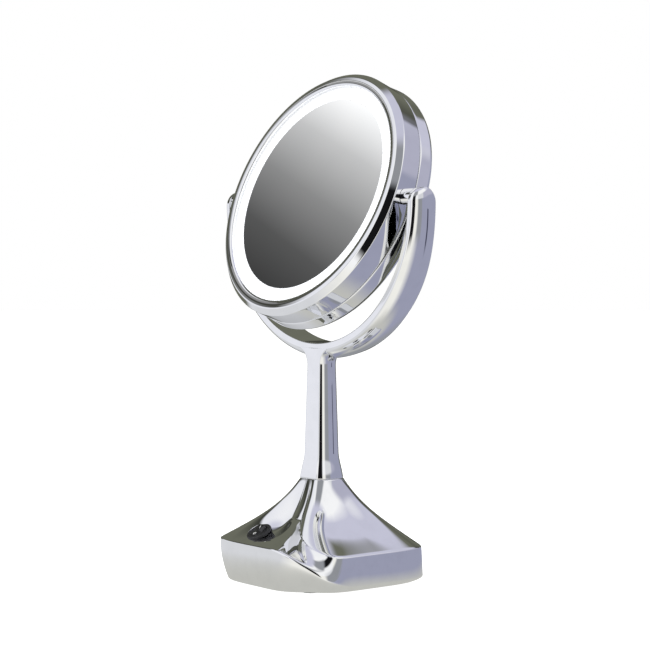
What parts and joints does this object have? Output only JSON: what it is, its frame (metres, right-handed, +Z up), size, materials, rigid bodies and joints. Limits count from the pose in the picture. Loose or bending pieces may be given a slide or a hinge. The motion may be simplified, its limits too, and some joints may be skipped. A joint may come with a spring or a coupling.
{
  "type": "lighted vanity mirror",
  "caption": "Free-standing double-sided vanity mirror with a lit ring, tilting in a C-shaped yoke on a flared stem and a swept square base with a rocker switch",
  "frame": {"origin": "on the table, under the axis of the stem, at the middle of the foot-print", "axes": "+Z up, front towards -Y, +X to the viewer's right seen from the front; the mirror head tilts about X"},
  "size_m": [0.2454, 0.1456, 0.4103],
  "materials": {
    "ballast_steel": "zinc-plated steel plate",
    "chrome_shell": "polished bright chrome plating",
    "black_plastic": "fine-textured black moulding",
    "screw_steel": "nickel-plated",
    "cell_wrap": "printed sleeve, dark body with a copper-coloured band",
    "spring_steel": "tinned spring steel",
    "circuit_board": "green solder mask",
    "component_black": "moulded component bodies",
    "silvered_glass": "second-surface silvered mirror glass",
    "lead_sleeve": "black insulation",
    "circuit_board_white": "white solder mask",
    "led_white": "white housing with a yellowish lens",
    "white_plastic": "white moulding",
    "frosted_diffuser": "frosted translucent ring",
    "foam_tape": "double-sided foam tape",
    "foot_rubber": "soft black rubber",
    "tube_steel": "drawn steel",
    "switch_black": "satin black",
    "switch_black_gloss": "gloss black with white I and O marks",
    "brass_tin": "stamped brass",
    "bush_brass": "turned brass"
  },
  "bodies": {
    "stand": {"ballast_plate": "ballast_steel", "base_cover": "chrome_shell", "base_plate": "black_plastic", "base_screws": "screw_steel", "battery_cells": "cell_wrap", "battery_tray": "black_plastic", "contact_plates": "spring_steel", "contact_springs": "spring_steel", "driver_board": "circuit_board", "driver_parts": "component_black", "lead_wire": "lead_sleeve", "neck_screws": "screw_steel", "pivot_collar_left": "chrome_shell", "pivot_collar_right": "chrome_shell", "pivot_nut_left": "screw_steel", "pivot_nut_right": "screw_steel", "pivot_stud_left": "tube_steel", "pivot_stud_right": "tube_steel", "pivot_washer_left": "spring_steel", "pivot_washer_right": "spring_steel", "rubber_feet": "foot_rubber", "support_tube": "tube_steel", "switch_housing": "switch_black", "switch_leads": "lead_sleeve", "switch_terminals": "brass_tin", "tube_nut": "screw_steel", "tube_washer": "screw_steel", "yoke_stem": "chrome_shell", "yoke_strip": "chrome_shell"},
    "mirror_head": {"front_bezel": "chrome_shell", "rear_cover": "chrome_shell", "mirror_tray": "white_plastic", "light_reflector": "white_plastic", "front_mirror": "silvered_glass", "mirror_pads": "foam_tape", "light_ring": "frosted_diffuser", "led_board": "circuit_board_white", "leds": "led_white", "magnifying_mirror": "silvered_glass", "case_screws": "screw_steel", "pivot_bush_left": "bush_brass", "pivot_bush_right": "bush_brass", "head_lead": "lead_sleeve"},
    "rocker": {"switch_rocker": "switch_black_gloss"},
    "door": {"battery_door": "black_plastic"}
  },
  "joints": [
    {"name": "head_tilt", "type": "hinge", "parent": "stand", "child": "mirror_head", "pos_m": [0, 0, 0.309], "axis": [1, 0, 0], "range_deg": [-180, 180]},
    {"name": "rocker_tilt", "type": "hinge", "parent": "stand", "child": "rocker", "pos_m": [-0.016, -0.051, 0.0406], "axis": [1, 0, 0], "range_deg": [-24, 0]},
    {"name": "door_slide", "type": "slide", "parent": "stand", "child": "door", "axis": [0, 1, 0], "range_m": [0, 0.008]}
  ]
}
